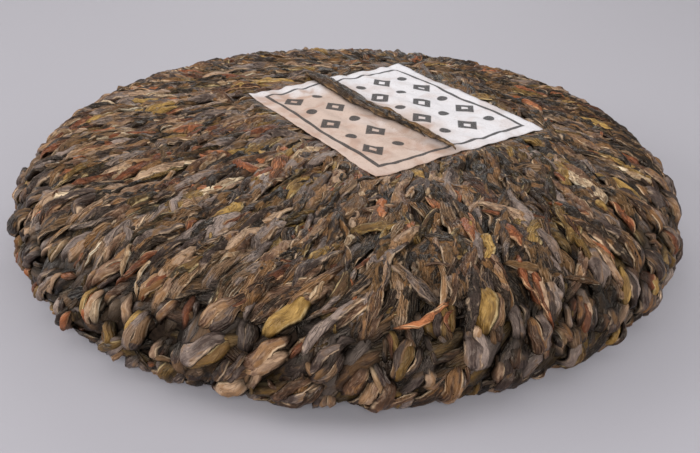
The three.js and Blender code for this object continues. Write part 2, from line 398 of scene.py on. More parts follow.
@dataclass
class Strips:
    """Many leaves of one kind, drawn at their places: each array holds one value a leaf."""

    kind: LeafKind
    places: Places
    rng: Draws
    values: dict[str, Array] = field(init=False)
    tone: Array = field(init=False)

    def __post_init__(self) -> None:
        """Draws every leaf's sizes and its tone."""
        count = len(self.places)
        self.values = {}
        for entry in fields(LeafKind):
            value = getattr(self.kind, entry.name)
            if entry.name != "tones" and isinstance(value, tuple):
                self.values[entry.name] = self.rng.uniform(*value, count)
        self.values["crown_half"] = np.full(count, self.kind.crown_half)
        shares = np.array(self.kind.tones) / sum(self.kind.tones)
        self.tone = self.rng.choice(len(shares), size=count, p=shares)

    def put(self, **values: Array) -> "Strips":
        """Sets values that were worked out in place of drawn ones."""
        self.values.update(values)
        return self

    def outline(self, v: dict[str, Array], share: Array, phase: Array) -> tuple[Array, Array]:
        """Tapers the leaves to their tips.

        Args:
            v: the leaves' sizes.
            share: place along a leaf, from -1 to 1.
            phase: random turns, six a leaf.

        Returns:
            How full each leaf is and half its width, along it.
        """
        power = np.where(share < 0, v["point"], v["tail"])
        full = (1 - np.clip(np.abs(share), 0, FORM.tip) ** power) ** v["blunt"]
        uneven = 1
        for number, (depth, speed) in enumerate(FORM.uneven):
            uneven = uneven + depth * np.sin(speed * share + phase[:, number, None])
        return full, 0.5 * v["width"] * np.maximum(full * uneven, FORM.least_half)

    def path(self, v: dict[str, Array], share: Array, phase: Array) -> tuple[Array, Array, Array]:
        """Lays the leaves' middle lines over their bundles.

        Args:
            v: the leaves' sizes.
            share: place along a leaf, from -1 to 1.
            phase: random turns, six a leaf.

        Returns:
            How far out each line lies, how high, and how the leaf is rolled there.
        """
        sway, speed = FORM.sway
        drift = v["out"] * (1 - FORM.pull_in * share**2) + v["stray"] * share
        drift = drift + v["bow"] * (share**2 - FORM.bow_middle)
        drift = drift + sway * v["width"] * np.sin(speed * share + phase[:, 2, None])
        lean = np.clip(drift / v["crown_half"], -FORM.most_lean, FORM.most_lean)
        arch = np.sqrt(1 - lean**2)
        slope = -v["crown"] / v["crown_half"] * lean / arch
        rise = v["lift"] + v["crown"] * arch - v["dip"] * np.abs(share) ** FORM.droop
        rise = rise + v["wave"] * np.sin(speed * share + phase[:, 3, None])
        return drift, rise, v["roll"] + v["twist"] * share + np.arctan(slope)

    def relief(self, v: dict[str, Array], run: Array, wide: Array, across: Array, half: Array) -> Array:
        """Ripples, curls and folds the leaves' faces.

        Args:
            v: the leaves' sizes.
            run: place along.
            wide: place across.
            across: place across, from -1 to 1.
            half: half the width.

        Returns:
            The height that this adds.
        """
        count, rng, high = len(self.places), self.rng, 0
        for _ in range(FORM.ripples):
            pitch = rng.uniform(*FORM.ripple_pitch, (count, 1, 1))
            lay = rng.uniform(0, math.pi, (count, 1, 1))
            shift = rng.uniform(0, math.tau, (count, 1, 1))
            ripple = np.sin(math.tau * (run * np.cos(lay) + wide * np.sin(lay)) / pitch + shift)
            high = high + v["crumple"][:, :, None] * ripple
        high = high + v["curl"][:, :, None] * half * (0.5 - across**2)
        return high - v["fold"][:, :, None] * half * (np.abs(across) - 0.5)

    def surface(self, bend: Callable[[Places, Array], Array]) -> "Surface":
        """The leaves as one mesh.

        Args:
            bend: gives the final points for the places and the points in the flat space of each bundle.

        Returns:
            The leaves' points, faces and attributes.
        """
        kind, rng, count = self.kind, self.rng, len(self.places)
        v = {name: value[:, None] for name, value in self.values.items()}
        share = np.linspace(-1, 1, kind.rows)[None, :]
        phase = rng.uniform(0, math.tau, (count, 6))
        full, half = self.outline(v, share, phase)
        drift, rise, roll = (x[:, :, None] for x in self.path(v, share, phase))
        across, tall, is_top = FORM.ring(kind.tops)
        half = half[:, :, None]
        wide = across * half
        run = (0.5 * v["length"] * share)[:, :, None] + 0 * wide
        high = 0.5 * v["thick"][:, :, None] * tall * np.maximum(full, FORM.least_thick)[:, :, None]
        pitch = rng.uniform(*FORM.groove_pitch, (count, 1, 1))
        wander = np.sin(run / FORM.groove_wander + phase[:, 5, None, None])
        grooves = np.sin(math.tau * wide / pitch + phase[:, 4, None, None] + wander)
        high = high + v["ridge"][:, :, None] * grooves * is_top * (1 - FORM.groove_fade * across**2)
        high = high + self.relief(v, run, wide, across, half)
        high = high + rng.normal(0, FORM.grain, high.shape) * is_top
        out = drift + wide * np.cos(roll) - high * np.sin(roll)
        up = rise + wide * np.sin(roll) + high * np.cos(roll)
        points = bend(self.places, np.stack([v["along"][:, :, None] + run, out, up], -1))
        leaf = np.empty((*up.shape, 4))
        leaf[..., 0] = np.clip(rng.random(count) - FORM.darkness(self.places), 0, 1)[:, None, None]
        leaf[..., 1] = rng.random(count)[:, None, None]
        # The place across the leaf, for its pale edges and the painted shade at its sides, and how high a
        # point lies, from 0 deep down to 1 at the crests, for the painted shade in the crevices.
        leaf[..., 2] = 0.5 + 0.5 * across
        leaf[..., 3] = np.clip(1 + up / FORM.crest_depth, 0, 1)
        start = rng.uniform(0, FORM.layout_reach, (count, 2))[:, None, None, :]
        flat = np.stack([across * 0.5 * v["width"][:, :, None] + 0 * run, run], -1)
        return Surface.of_rings(points, start + 0.1 * flat, leaf, self.tone)


@dataclass
class Surface:
    """Closed strips as arrays: points, their layout, what the finish reads, side faces and end faces."""

    points: Array
    flat: Array
    leaf: Array
    sides: Array
    ends: Array
    side_tone: Array
    end_tone: Array

    @classmethod
    def of_rings(cls, points: Array, flat: Array, leaf: Array, tone: Array) -> "Surface":
        """Joins the rings of each strip.

        Args:
            points: strips, rings and points round each ring, with X, Y and Z.
            flat: the layout of the same points.
            leaf: four numbers a point for the finish.
            tone: each strip's tone.

        Returns:
            The surface of all the strips.
        """
        count, rows, around = points.shape[:3]
        number = np.arange(count * rows * around).reshape(count, rows, around)
        after = np.roll(number, -1, axis=2)
        sides = np.stack([number[:, :-1], number[:, 1:], after[:, 1:], after[:, :-1]], -1)
        ends = np.stack([number[:, 0], number[:, -1, ::-1]], 1)
        return cls(
            points.reshape(-1, 3),
            flat.reshape(-1, 2),
            leaf.reshape(-1, 4),
            sides.reshape(-1, 4),
            ends.reshape(-1, around),
            np.repeat(tone, (rows - 1) * around),
            np.repeat(tone, 2),
        )

    def only(self, tone: int) -> "Surface":
        """Picks the strips of one tone.

        Args:
            tone: the tone's number.

        Returns:
            Those strips alone.
        """
        sides, ends = self.sides[self.side_tone == tone], self.ends[self.end_tone == tone]
        used = np.unique(np.concatenate([sides.ravel(), ends.ravel()]))
        place = np.zeros(len(self.points), int)
        place[used] = np.arange(len(used))
        return Surface(
            self.points[used],
            self.flat[used],
            self.leaf[used],
            place[sides],
            place[ends],
            np.full(len(sides), tone),
            np.full(len(ends), tone),
        )


def joined(surfaces: list[Surface]) -> tuple[Array, list[Array], Array, Array]:
    """Joins surfaces into the arrays of one mesh.

    Args:
        surfaces: the surfaces to join.

    Returns:
        The points, the arrays of faces, the points' flat layout and their leaf numbers.
    """
    faces, start = [], 0
    for surface in surfaces:
        faces += [part + start for part in (surface.sides, surface.ends) if len(part)]
        start += len(surface.points)
    points = np.concatenate([surface.points for surface in surfaces])
    flat = np.concatenate([surface.flat for surface in surfaces])
    leaf = np.concatenate([surface.leaf for surface in surfaces])
    return points, faces, flat, leaf


def mesh_object(name: str, points: Array, faces: list[Array], flat: Array, leaf: Array) -> Piece:
    """Makes a smooth mesh object.

    Args:
        name: the piece's name.
        points: its points in millimetres.
        faces: arrays of faces, each with one number of corners.
        flat: the flat layout of the points.
        leaf: four numbers a point for the finish.

    Returns:
        The new object, in metres.
    """
    mesh = bpy.data.meshes.new(name)
    corners = np.concatenate([f.ravel() for f in faces]).astype(np.int32)
    totals = np.concatenate([np.full(len(f), f.shape[1]) for f in faces]).astype(np.int32)
    mesh.vertices.add(len(points))
    mesh.vertices.foreach_set("co", (points * MM).astype(np.float32).ravel())
    mesh.loops.add(len(corners))
    mesh.loops.foreach_set("vertex_index", corners)
    mesh.polygons.add(len(totals))
    mesh.polygons.foreach_set("loop_start", np.concatenate([[0], np.cumsum(totals)[:-1]]).astype(np.int32))
    mesh.polygons.foreach_set("loop_total", totals)
    mesh.polygons.foreach_set("use_smooth", np.ones(len(totals), bool))
    layout = mesh.uv_layers.new(name="layout")
    layout.data.foreach_set("uv", flat[corners].astype(np.float32).ravel())
    colours = mesh.attributes.new("leaf", "FLOAT_COLOR", "POINT")
    colours.data.foreach_set("color", leaf.astype(np.float32).ravel())
    mesh.update(calc_edges=True)
    mesh.validate()
    piece = bpy.data.objects.new(name, mesh)
    bpy.context.scene.collection.objects.link(piece)
    return piece


class Nodes:
    """A short way to build a material's nodes."""

    def __init__(self, name: str) -> None:
        """Starts a material with a principled shader.

        Args:
            name: the material's name.
        """
        self.material = bpy.data.materials.new(name)
        self.material.use_nodes = True
        self.tree = self.material.node_tree
        self.shader = self.tree.nodes["Principled BSDF"]

    def add(self, kind: str, settings: dict[str, object] | None = None, **inputs: Value) -> bpy.types.Node:
        """Adds a node.

        Args:
            kind: its type without the ShaderNode in front.
            settings: the node's own properties.
            inputs: values or sockets for its inputs, by name or, as in_0, by number.

        Returns:
            The new node.
        """
        node = self.tree.nodes.new("ShaderNode" + kind)
        for key, value in (settings or {}).items():
            setattr(node, key, value)
        for key, value in inputs.items():
            place = int(key[3:]) if key.startswith("in_") else key.replace("_", " ")
            self.feed(node.inputs[place], value)
        return node

    def feed(self, socket: Socket, value: Value) -> None:
        """Links a socket to an input, or sets the input's value.

        Args:
            socket: the input.
            value: what it takes.
        """
        if isinstance(value, Socket):
            self.tree.links.new(value, socket)
        else:
            socket.default_value = value

    def math(self, operation: str, *values: Value) -> Socket:
        """The result of a sum or another operation on numbers."""
        inputs = {f"in_{number}": value for number, value in enumerate(values)}
        return self.add("Math", {"operation": operation}, **inputs).outputs[0]

    def plus(self, first: Value, second: Value) -> Socket:
        """One number and another."""
        return self.math("ADD", first, second)

    def minus(self, first: Value, second: Value) -> Socket:
        """One number less another."""
        return self.math("SUBTRACT", first, second)

    def times(self, first: Value, second: Value) -> Socket:
        """One number by another."""
        return self.math("MULTIPLY", first, second)

    def most(self, first: Value, second: Value) -> Socket:
        """The greater of two numbers."""
        return self.math("MAXIMUM", first, second)

    def size(self, value: Value) -> Socket:
        """A number without its sign."""
        return self.math("ABSOLUTE", value)

    def noise(self, vector: Socket, scale: float, detail: float = 2.0, waver: float = 0.0) -> Socket:
        """A noise between 0 and 1."""
        node = self.add("TexNoise", None, Vector=vector, Scale=scale, Detail=detail, Distortion=waver)
        return node.outputs[0]

    def wrinkles(self, vector: Socket, pitch: float) -> Socket:
        """Wavering lines along a leaf.

        Args:
            vector: the place.
            pitch: how far apart they are, in millimetres.

        Returns:
            A value between 0 and 1.
        """
        settings = {"wave_type": "BANDS", "bands_direction": "X", "wave_profile": "SIN"}
        inputs = {"Scale": math.pi / pitch, "Distortion": 8.0, "Detail": 4.0, "Detail_Scale": 0.9}
        return self.add("TexWave", settings, Vector=vector, **inputs).outputs["Fac"]

    def stretched(self, vector: Socket, scale: tuple[float, float, float]) -> Socket:
        """The same places, scaled along each axis."""
        return self.add("Mapping", None, Vector=vector, Scale=scale).outputs[0]

    def ramp(self, value: Value, stops: list[tuple[float, Colour]]) -> Socket:
        """A colour that runs from stop to stop.

        Args:
            value: what it follows.
            stops: values and their colours.

        Returns:
            The colour.
        """
        node = self.add("ValToRGB", None, Fac=value)
        line = node.color_ramp.elements
        while len(line) < len(stops):
            line.new(0.5)
        for element, (place, colour) in zip(line, stops):
            element.position = place
            element.color = (*colour, 1)
        return node.outputs[0]

    def mixed(self, share: Value, first: Value, second: Value, blend: str = "MIX") -> Socket:
        """One colour mixed with another.

        Args:
            share: how much of the second there is.
            first: the first colour.
            second: the second colour.
            blend: how they are mixed.

        Returns:
            The mixed colour.
        """
        node = self.tree.nodes.new("ShaderNodeMix")
        node.data_type, node.blend_type = "RGBA", blend
        for socket, value in zip((node.inputs[0], node.inputs[6], node.inputs[7]), (share, first, second)):
            self.feed(socket, (*value, 1) if isinstance(value, tuple) else value)
        return node.outputs[2]

    def between(self, value: Value, low: float, high: float, to_low: float, to_high: float) -> Socket:
        """A value brought smoothly from one range into another."""
        inputs = {"in_0": value, "in_1": low, "in_2": high, "in_3": to_low, "in_4": to_high}
        return self.add("MapRange", {"interpolation_type": "SMOOTHSTEP"}, **inputs).outputs[0]

    def relief(self, height: Value, depth: float, before: Socket | None = None) -> Socket:
        """A bump.

        Args:
            height: its height, from 0 to 1.
            depth: its depth in millimetres.
            before: a bump that it goes over.

        Returns:
            The bent normal.
        """
        inputs = {"Strength": 1.0, "Distance": depth * MM, "Height": height}
        if before is not None:
            inputs["Normal"] = before
        return self.add("Bump", None, **inputs).outputs[0]

    def finish(self, **inputs: Value) -> bpy.types.Material:
        """Sets the shader's inputs.

        Args:
            inputs: values or sockets, by name.

        Returns:
            The material.
        """
        for key, value in inputs.items():
            if isinstance(value, tuple) and len(value) == 3:
                value = (*value, 1)
            self.feed(self.shader.inputs[key.replace("_", " ")], value)
        return self.material


@dataclass(frozen=True)
class ZoneLook:
    """How wrinkled (the depth of the bumps and the strength of the painted wrinkle highlights and groove
    shade), varied from leaf to leaf and mottled the leaves of a zone are, and how light.
    """

    wrinkled: float
    varied: float
    mottled: float
    lightness: float


ZONE_LOOKS = {
    Zone.TOP: ZoneLook(0.95, 0.95, 0.78, 0.31),
    Zone.RIM: ZoneLook(0.45, 0.65, 0.65, 0.4),
    Zone.UNDER: ZoneLook(0.9, 0.8, 0.7, 0.3),
}


@dataclass(frozen=True)
class LeafFinish:
    """Dry tea leaf: streaks along the leaf, patches, pale fibres, veins and a faint gloss. Its pale edges are
    partly its own colour and partly a painted highlight, its wrinkle crests have a painted highlight, and
    painted shade darkens its grooves and vein lines, its sides and the parts that lie deep below the crests.
    """

    name: str
    deep: Colour
    middle: Colour
    light: Colour
    patch: Colour
    # The pale edge colour, which the pale fibres, the pale edges and the painted highlights are mixed
    # towards.
    edge: Colour
    roughness: Range = (0.36, 0.66)
    gloss: float = 0.28
    pitch: float = 0.7
    shades: tuple[float, float, float] = (0.22, 0.6, 1.0)
    wrinkle_scale: tuple[float, float, float] = (1, 0.26, 1)
    vein_scale: tuple[float, float, float] = (8, 2, 1)
    fibre_scale: tuple[float, float, float] = (24, 6, 1)
    patch_scale: tuple[float, float, float] = (3, 1.3, 1)
    cloud_share: float = 0.3
    streak_share: float = 0.1
    depths: tuple[float, ...] = (0.4, 0.16, 0.6, 0.25, 0.28)
    tint: Colour = (1.0, 0.84, 0.7)

    def material(self, zone: Zone) -> bpy.types.Material:
        """The finish as a material.

        Args:
            zone: the part of the cake that it is for.

        Returns:
            The material.
        """
        n = Nodes(f"{zone.value}_{self.name}")
        look = ZONE_LOOKS[zone]
        detail = look.wrinkled
        numbers = n.add("Attribute", {"attribute_name": "leaf"})
        parts = n.add("SeparateColor", None, Color=numbers.outputs["Color"])
        own, other, across = parts.outputs[0], parts.outputs[1], parts.outputs[2]
        height_for_shade = numbers.outputs["Alpha"]
        layout = n.add("UVMap", {"uv_map": "layout"}).outputs[0]
        lines = n.wrinkles(n.stretched(layout, self.wrinkle_scale), self.pitch)
        veins = n.noise(n.stretched(layout, self.vein_scale), 1.0, 2.0, 0.9)
        fibres = n.noise(n.stretched(layout, self.fibre_scale), 1.0, 3.0, 0.6)
        patches = n.noise(n.stretched(layout, self.patch_scale), 1.0, 5.0, 0.8)
        streaks = n.between(veins, 0.34, 0.66, 0.0, 1.0)
        clouds = n.between(patches, 0.36, 0.64, 0.0, 1.0)
        lined = n.between(other, 0.5, 1.0, 0.12, 1.0)
        grooves = n.between(n.size(n.minus(veins, 0.5)), 0.0, 0.06, 0.0, 1.0)
        fine = n.between(fibres, 0.36, 0.64, 0.0, 1.0)
        shade = n.math("MULTIPLY_ADD", own, look.varied, look.lightness - 0.5 * look.varied)
        amounts = (self.cloud_share, self.streak_share, self.streak_share)
        for marks, amount in zip((clouds, streaks, fine), amounts):
            shade = n.plus(shade, n.times(marks, amount))
        colour = n.ramp(shade, list(zip(self.shades, (self.deep, self.middle, self.light))))
        spread = n.plus(patches, n.times(other, 0.14))
        colour = n.mixed(n.between(spread, 0.58, 0.67, 0.0, look.mottled), colour, self.patch)
        thread = n.between(fibres, 0.56, 0.7, 0.0, 0.22 * detail)
        # Painted highlight on the crests of the wrinkle lines, in the pale edge colour; the pale threads are
        # the leaf's own fibres.
        ridge = n.times(n.between(lines, 0.6, 0.97, 0.0, 0.26 * detail), n.times(lined, streaks))
        colour = n.mixed(n.most(thread, ridge), colour, self.edge)
        # Pale edges: partly the leaf's own paler edge colour, partly a painted highlight on the edges.
        side = n.size(n.minus(across, 0.5))
        rim = n.plus(side, n.times(fibres, 0.08))
        rim = n.times(n.between(rim, 0.39, 0.46, 0.0, 0.7), n.between(patches, 0.44, 0.58, 0.0, 1.0))
        colour = n.mixed(rim, colour, self.edge)
        # Painted shade: darker in the grooves between the wrinkle lines and along the lines of the veins.
        groove_shade = n.between(n.times(n.between(lines, 0.05, 0.42, 1.0, 0.0), lined), 0.0, 1.0,
                           1.0, 1.0 - 0.32 * detail)
        groove_shade = n.times(groove_shade, n.between(grooves, 0.0, 1.0, 1.0 - 0.4 * detail, 1.0))
        # Painted shade: darker the deeper a point lies below the crests, as in the crevices between leaves.
        dark = n.times(groove_shade, n.between(height_for_shade, 0.38, 1.0, 0.1, 1.0))
        # Painted shade: darker towards the leaf's sides, as in the gaps between leaves; the three painted
        # shades then multiply the colour.
        dark = n.times(dark, n.between(side, 0.42, 0.5, 1.0, 0.2))
        colour = n.mixed(1.0, colour, n.add("CombineColor", None, Red=dark, Green=dark, Blue=dark).outputs[0],
                         "MULTIPLY")
        rough = n.between(clouds, 0.0, 1.0, *self.roughness)
        bump = None
        heights = (n.times(lines, lined), grooves, veins, fibres, n.noise(layout, 14.0, 3.0))
        for height, depth in zip(heights, self.depths):
            bump = n.relief(height, depth * detail, bump)
        return n.finish(Base_Color=colour, Roughness=rough, Normal=bump, Specular_IOR_Level=self.gloss,
                        Specular_Tint=self.tint)


LEAF_FINISHES = {
    Tone.DARK: LeafFinish(
        "dark_leaf", linear(16, 8, 4), linear(60, 47, 43), linear(136, 119, 110), linear(108, 77, 44),
        linear(206, 176, 146)
    ),
    Tone.BROWN: LeafFinish(
        "brown_leaf", linear(28, 15, 7), linear(92, 64, 47), linear(170, 140, 114), linear(124, 86, 48),
        linear(222, 192, 158)
    ),
    Tone.OLIVE: LeafFinish(
        "olive_leaf", linear(34, 23, 8), linear(106, 78, 36), linear(172, 136, 76), linear(78, 54, 35),
        linear(212, 186, 138)
    ),
    Tone.RUST: LeafFinish(
        "rust_leaf", linear(36, 17, 8), linear(112, 60, 35), linear(166, 102, 64), linear(62, 42, 33),
        linear(208, 164, 124)
    ),
    Tone.PALE: LeafFinish(
        "pale_leaf", linear(78, 54, 34), linear(144, 114, 84), linear(214, 190, 158), linear(106, 76, 50),
        linear(236, 220, 192)
    ),
}
STRAND_FINISH = LeafFinish(
    "strand", linear(24, 14, 8), linear(62, 43, 28), linear(112, 86, 60), linear(96, 68, 38),
    linear(150, 122, 92)
)


@dataclass(frozen=True)
class CoreFinish:
    """The near-black leaf that shows between the bundles; its colour is partly the leaves' own deep tone and
    partly painted shade for the deep gaps.
    """

    name: str = "core_leaf"
    deep: Colour = linear(20, 15, 12)
    light: Colour = linear(44, 34, 27)

    def material(self) -> bpy.types.Material:
        """The finish as a material.

        Returns:
            The material.
        """
        n = Nodes(self.name)
        place = n.add("TexCoord").outputs["Object"]
        grain = n.noise(place, 700.0, 4.0)
        colour = n.ramp(grain, [(0.3, self.deep), (0.7, self.light)])
        bump = n.relief(grain, 0.6)
        return n.finish(Base_Color=colour, Roughness=0.9, Normal=bump, Specular_IOR_Level=0.05)


@dataclass(frozen=True)
class PaperFinish:
    """The ticket's thin fibrous paper, stained by the leaves, with a border and rows of lozenges and dots,
    and a painted shadow with stain along the strand.
    """

    name: str = "ticket_paper"
    clean: Colour = linear(206, 203, 206)
    warm: Colour = linear(186, 165, 153)
    blotch: Colour = linear(168, 138, 122)
    # The stain colour, also the colour of the painted shadow along the strand.
    stain: Colour = linear(122, 96, 74)
    ink: Colour = linear(52, 50, 50)
    line: float = 1.25
    border_half: tuple[float, float] = (34.4, 29.4)
    pitch: tuple[float, float] = (12.0, 9.6)
    lozenge_half: tuple[float, float] = (4.9, 4.1)
    dot_radius: float = 1.9

    def print_ink(self, n: Nodes, along: Socket, across: Socket) -> Socket:
        """One border round the ticket, and inside it rows of hollow lozenges and dots by turns.

        Args:
            n: the material's nodes.
            along: place along the ticket, in millimetres.
            across: place across the ticket, in millimetres.

        Returns:
            Where the ink is, as a number from 0 to 1.
        """
        out_long = n.minus(n.size(along), self.border_half[0])
        out_wide = n.minus(n.size(across), self.border_half[1])
        reach = n.most(out_long, out_wide)
        border = n.between(n.size(reach), 0.4 * self.line, 0.6 * self.line, 1.0, 0.0)
        step, rise = self.pitch
        shifted = n.plus(along, step / 2)
        cell = n.minus(n.math("FLOORED_MODULO", shifted, step), step / 2)
        side = n.minus(n.math("FLOORED_MODULO", across, rise), rise / 2)
        column = n.math("FLOOR", n.math("DIVIDE", shifted, step))
        row = n.math("FLOOR", n.math("DIVIDE", across, rise))
        turn = n.math("FLOORED_MODULO", n.plus(column, row), 2.0)
        shape = n.plus(n.math("DIVIDE", n.size(cell), self.lozenge_half[0]),
                       n.math("DIVIDE", n.size(side), self.lozenge_half[1]))
        lozenge = n.times(n.between(shape, 0.92, 1.04, 1.0, 0.0), n.between(shape, 0.3, 0.4, 0.0, 1.0))
        radius = n.math("SQRT", n.plus(n.times(cell, cell), n.times(side, side)))
        dot = n.between(radius, self.dot_radius - 0.2, self.dot_radius + 0.2, 1.0, 0.0)
        motif = n.most(n.times(lozenge, n.between(turn, 0.4, 0.6, 0.0, 1.0)),
                       n.times(dot, n.between(turn, 0.4, 0.6, 1.0, 0.0)))
        inside = n.times(n.between(out_long, -5.2, -5.1, 1.0, 0.0), n.between(out_wide, -1.1, -1.0, 1.0, 0.0))
        off_strand = n.size(n.plus(across, rise / 2))
        beside = n.between(off_strand, rise / 2, rise / 2 + 0.1, 0.0, 1.0)
        return n.most(border, n.times(n.times(motif, inside), beside))

    def material(self) -> bpy.types.Material:
        """The finish as a material.

        Returns:
            The material.
        """
        n = Nodes(self.name)
        layout = n.add("UVMap", {"uv_map": "layout"}).outputs[0]
        place = n.add("SeparateXYZ", None, Vector=layout)
        along = n.times(place.outputs[0], 10.0)
        across = n.times(place.outputs[1], 10.0)
        cloud = n.noise(layout, 0.5, 5.0, 0.6)
        blots = n.noise(layout, 0.95, 6.0, 0.9)
        fibres = n.noise(n.stretched(layout, (5.0, 5.0, 1)), 1.6, 6.0, 2.4)
        grain = n.noise(layout, 26.0, 3.0)
        place = n.plus(across, n.times(n.minus(cloud, 0.5), 50.0))
        warmth = n.between(place, -14.0, 13.0, 1.0, 0.05)
        corner = n.plus(along, n.times(n.minus(blots, 0.5), 26.0))
        warmth = n.times(warmth, n.between(corner, -36.0, -22.0, 0.2, 1.0))
        colour = n.mixed(warmth, self.clean, self.warm)
        mottle = n.times(n.between(blots, 0.47, 0.66, 0.0, 0.75), n.between(warmth, 0.1, 0.8, 0.35, 1.0))
        colour = n.mixed(mottle, colour, self.blotch)
        colour = n.mixed(n.between(fibres, 0.52, 0.74, 0.0, 0.3), colour, self.stain)
        # A painted shadow mixed with stain: darker in the stain colour within a few millimetres of the
        # strand's line.
        strand_shadow_reach = n.size(n.plus(across, 4.5))
        strand_shadow_reach = n.plus(strand_shadow_reach, n.times(n.minus(fibres, 0.5), 7.0))
        colour = n.mixed(n.between(strand_shadow_reach, 2.5, 5.0, 0.45, 0.0), colour, self.stain)
        ink = n.times(self.print_ink(n, along, across), n.between(grain, 0.3, 0.5, 0.7, 0.95))
        colour = n.mixed(ink, colour, self.ink)
        bump = n.relief(n.noise(layout, 1.7, 5.0, 0.6), 0.6)
        bump = n.relief(grain, 0.05, bump)
        return n.finish(Base_Color=colour, Roughness=0.88, Normal=bump, Specular_IOR_Level=0.25)


def dress(piece: Piece, node: str, material: bpy.types.Material) -> Piece:
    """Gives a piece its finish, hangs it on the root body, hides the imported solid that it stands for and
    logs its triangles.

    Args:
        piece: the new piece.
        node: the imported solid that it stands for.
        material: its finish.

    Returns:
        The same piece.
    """
    piece.data.materials.append(material)
    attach(piece, "root")
    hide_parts(node)
    piece.data.calc_loop_triangles()
    LOG.info("%s: %d triangles", piece.name, len(piece.data.loop_triangles))
    return piece


@dataclass
class Ticket:
    """The square paper ticket: a thin sheet that follows the pressed leaves in slow waves."""

    skin: CakeSkin
    centre: tuple[float, float]
    length: float = 78.5
    width: float = 67.8
    turn: float = math.radians(-55.8)
    thick: float = 0.24
    seat: float = 1.2
    gap: float = 0.3
    wave: float = 0.28
    cells: tuple[int, int] = (76, 66)
    press: float = 0.12
    press_reach: float = 7.0
    press_rise: float = 1.7
    tear: float = 0.035
    tear_pitches: tuple[float, ...] = (31.0, 5.3, 2.9, 1.3)
    creases: int = 16
    curled_up: float = 0.35

    def on_sheet(self, x: Array, y: Array) -> tuple[Array, Array]:
        """Finds points of the cake on the ticket.

        Args:
            x: their X.
            y: their Y.

        Returns:
            Their places along and across the ticket, from its centre.
        """
        x, y = x - self.centre[0], y - self.centre[1]
        cos, sin = math.cos(self.turn), math.sin(self.turn)
        return x * cos + y * sin, y * cos - x * sin

    def from_sheet(self, along: Array, across: Array, height: Array) -> Array:
        """Finds places of the ticket on the cake.

        Args:
            along: place along the ticket, from its centre.
            across: place across it.
            height: over the floor.

        Returns:
            The points' X, Y and Z.
        """
        cos, sin = math.cos(self.turn), math.sin(self.turn)
        x = self.centre[0] + along * cos - across * sin
        y = self.centre[1] + along * sin + across * cos
        return np.stack([x, y, height], -1)

    def under(self, along: Array, across: Array) -> Array:
        """The height of the sheet's lower face.

        Args:
            along: place along the ticket.
            across: place across it.

        Returns:
            The height over the floor.
        """
        ripple = np.sin(math.tau * (along / 39 + 0.13)) * np.cos(math.tau * across / 48)
        slanting = np.sin(math.tau * (along / 90 + across / 30))
        return self.skin.height - self.seat + self.gap + self.wave * (1.5 + ripple + 0.5 * slanting)

    def pressed(self, points: Array) -> Array:
        """Presses the leaves' points down under the ticket and just round it.

        Args:
            points: points of leaves.

        Returns:
            The same points, none above the ticket where it lies.
        """
        along, across = self.on_sheet(points[..., 0], points[..., 1])
        past = np.maximum(np.abs(along) - self.length / 2, np.abs(across) - self.width / 2)
        limit = self.under(np.clip(along, -42, 42), np.clip(across, -36, 36)) - self.press
        limit = limit + self.press_rise * smooth_step(-0.5, self.press_reach, past)
        over = points[..., 2] - limit
        soft = limit + self.press * np.tanh(over / 0.6) * smooth_step(0, 4, past)
        height = np.where((over > 0) & (past < self.press_reach), soft, points[..., 2])
        return np.stack([points[..., 0], points[..., 1], height], -1)

    def surface(self) -> tuple[Array, Array, list[Array]]:
        """Shapes the sheet, with torn edges and fine creases.

        Returns:
            Its points, their flat layout and its faces.
        """
        rng = np.random.default_rng(SEED + 1)
        long, wide = self.cells
        u = np.linspace(-0.5, 0.5, long + 1)[:, None] + np.zeros((1, wide + 1))
        v = np.linspace(-0.5, 0.5, wide + 1)[None, :] + np.zeros((long + 1, 1))

        def torn(place: Array) -> Array:
            """Tears an edge.

            Args:
                place: where along it.

            Returns:
                How far the edge strays there.
            """
            total = 0
            for pitch in self.tear_pitches:
                total = total + pitch**0.5 * np.sin(math.tau * place / pitch + rng.uniform(0, 6.3))
            return self.tear * total

        along, across = u * self.length, v * self.width
        along = along + np.where(u > 0, torn(across), torn(across)) * (2 * np.abs(u)) ** 6
        across = across + np.where(v > 0, torn(along), torn(along)) * (2 * np.abs(v)) ** 6
        height = self.under(along, across) + 0.1
        for _ in range(self.creases):
            pitch, lean = rng.uniform(3.5, 11), rng.normal(0, 0.5)
            place = across * math.cos(lean) + along * math.sin(lean)
            phase = rng.uniform(0, math.tau)
            height = height + 0.02 * pitch**0.5 * np.sin(math.tau * place / pitch + phase)
        height = height + self.curled_up * smooth_step(0.38, 0.5, v) * (0.5 + 0.5 * np.sin(along / 9.0))
        lower = self.from_sheet(along, across, height)
        upper = self.from_sheet(along, across, height + self.thick)
        number = np.arange((long + 1) * (wide + 1)).reshape(long + 1, wide + 1)
        a, b, c, d = number[:-1, :-1], number[1:, :-1], number[1:, 1:], number[:-1, 1:]
        total = number.size
        faces = [
            np.stack([a, d, c, b], -1).reshape(-1, 4),
            np.stack([a, b, c, d], -1).reshape(-1, 4) + total,
        ]
        edges = ((number[:, 0], False), (number[:, -1], True), (number[0], True), (number[-1], False))
        for line, flip in edges:
            edge = np.stack([line[:-1], line[1:], line[1:] + total, line[:-1] + total], -1)
            faces.append(edge[:, ::-1] if flip else edge)
        points = np.concatenate([lower.reshape(-1, 3), upper.reshape(-1, 3)])
        layout = np.stack([along, across], -1).reshape(-1, 2) / 10
        return points, np.concatenate([layout, layout]), faces

    def build(self) -> Piece:
        """Makes the ticket.

        Returns:
            The new object.
        """
        points, layout, faces = self.surface()
        piece = mesh_object("paper_ticket_sheet", points, faces, layout, np.zeros((len(points), 4)))
        return dress(piece, "paper_ticket", PaperFinish().material())


